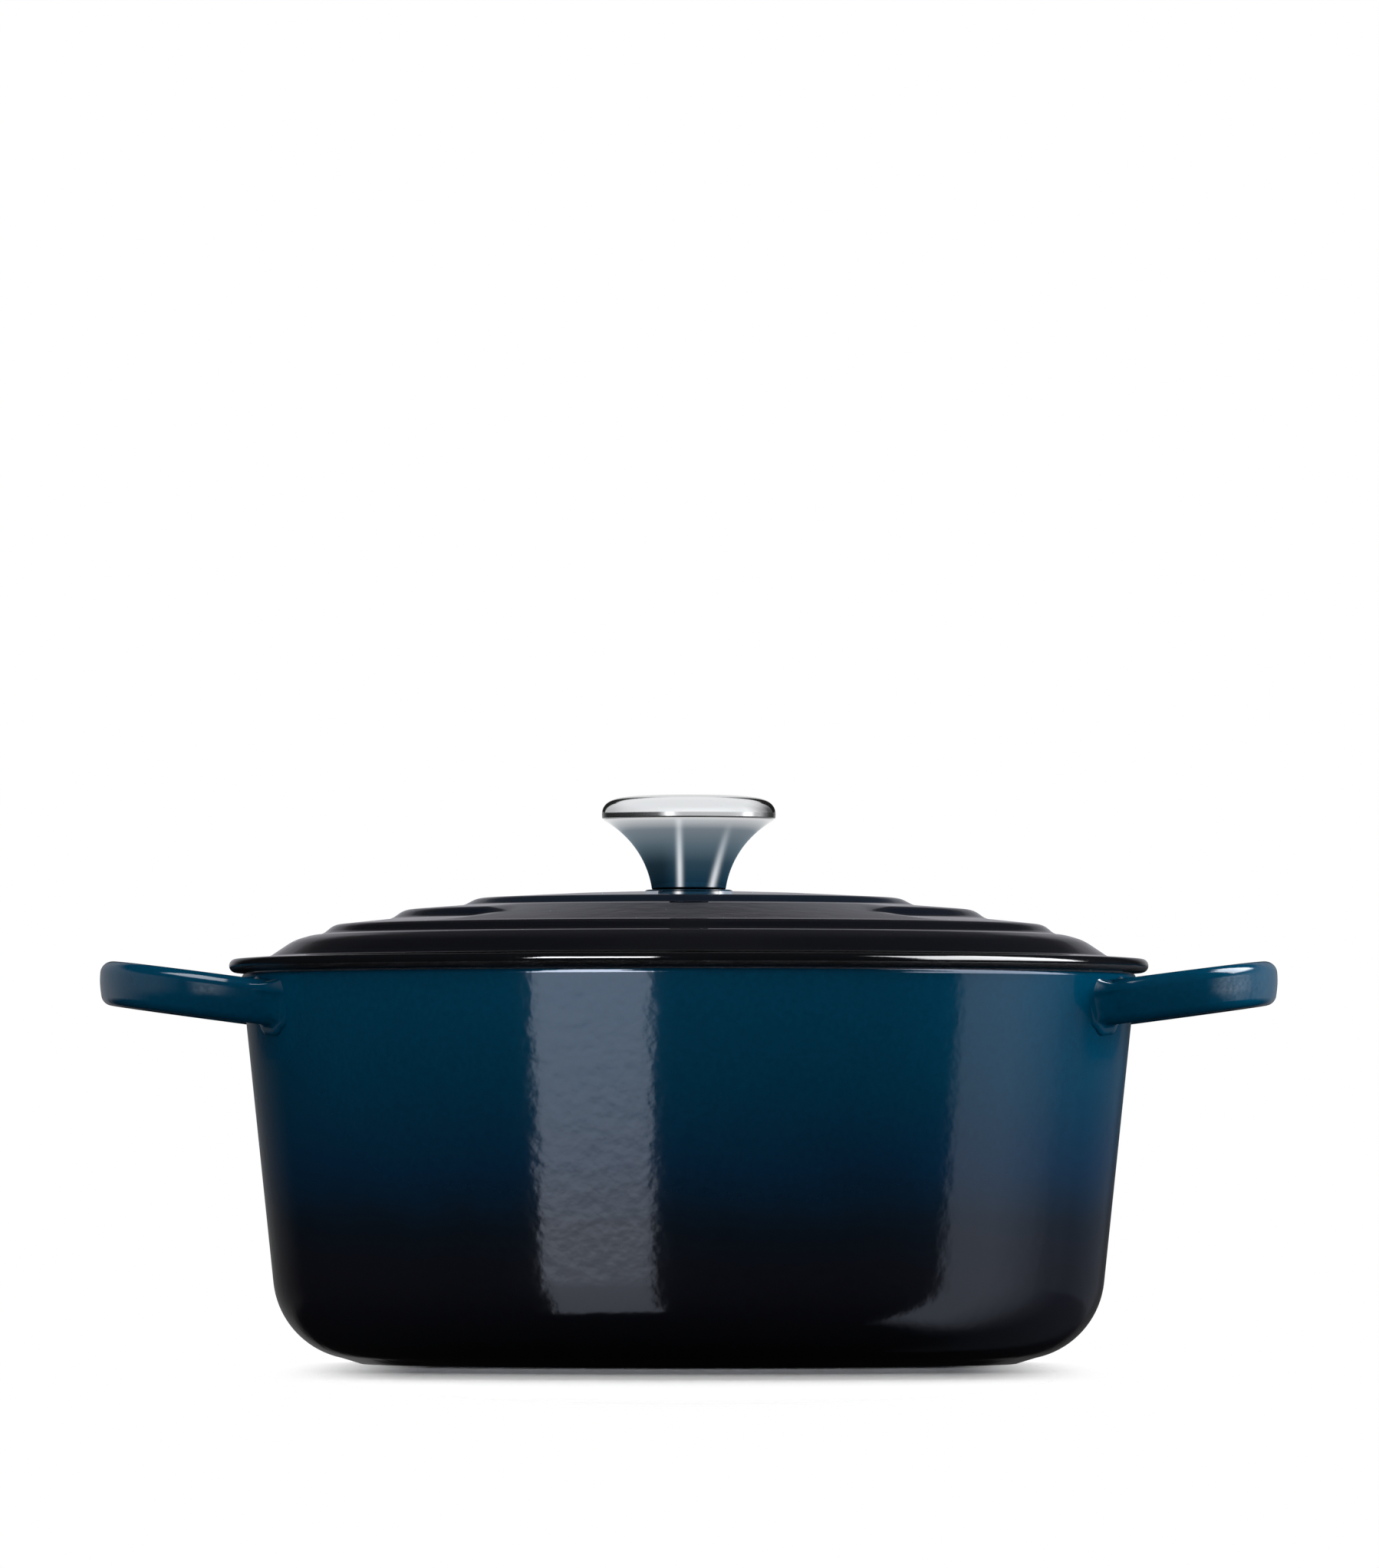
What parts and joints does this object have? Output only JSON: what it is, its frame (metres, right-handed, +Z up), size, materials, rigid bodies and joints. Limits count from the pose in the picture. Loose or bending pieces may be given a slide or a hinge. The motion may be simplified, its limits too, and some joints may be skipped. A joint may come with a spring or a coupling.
{
  "type": "enamelled dutch oven",
  "caption": "Round enamelled cast iron pot with loop handles and a stepped lift-off lid that carries a screwed-on steel knob.",
  "frame": {"origin": "middle of the foot, on the surface the pot stands on", "axes": "+Z up along the pot's axis, +X through the two handles, -Y the front with the lid's smooth panel"},
  "size_m": [0.326, 0.2542, 0.1573],
  "materials": {
    "pot_enamel": "gloss vitreous enamel, teal fading to near black at the foot",
    "lid_enamel": "gloss vitreous enamel, charcoal",
    "lining_enamel": "gloss sand coloured enamel",
    "knob_steel": "polished stainless steel",
    "fastener_steel": "plain stainless steel"
  },
  "bodies": {
    "pot": {"pot": "pot_enamel", "right_handle": "pot_enamel", "left_handle": "pot_enamel", "pot_lining": "lining_enamel"},
    "lid": {"lid": "lid_enamel", "lid_lining": "lining_enamel", "flat_washer": "fastener_steel"},
    "knob": {"knob_stem": "knob_steel", "knob_cap": "knob_steel", "knob_bush": "fastener_steel"},
    "screw": {"knob_screw": "fastener_steel", "spring_washer": "fastener_steel"}
  },
  "joints": [
    {"name": "lid_lift", "type": "slide", "parent": "pot", "child": "lid", "axis": [0, 0, 1], "range_m": [0, 0.15]},
    {"name": "screw_turn", "type": "hinge", "parent": "lid", "child": "screw", "pos_m": [0, 0, 0.1234], "axis": [0, 0, -1], "range_deg": [0, 4320]},
    {"name": "knob_rise", "type": "slide", "parent": "lid", "child": "knob", "axis": [0, 0, 1], "range_m": [0, 0.012]}
  ],
  "couplings": [
    {"joint": "screw_turn", "follows": "knob_rise", "rad_per_m": 6283.2}
  ]
}
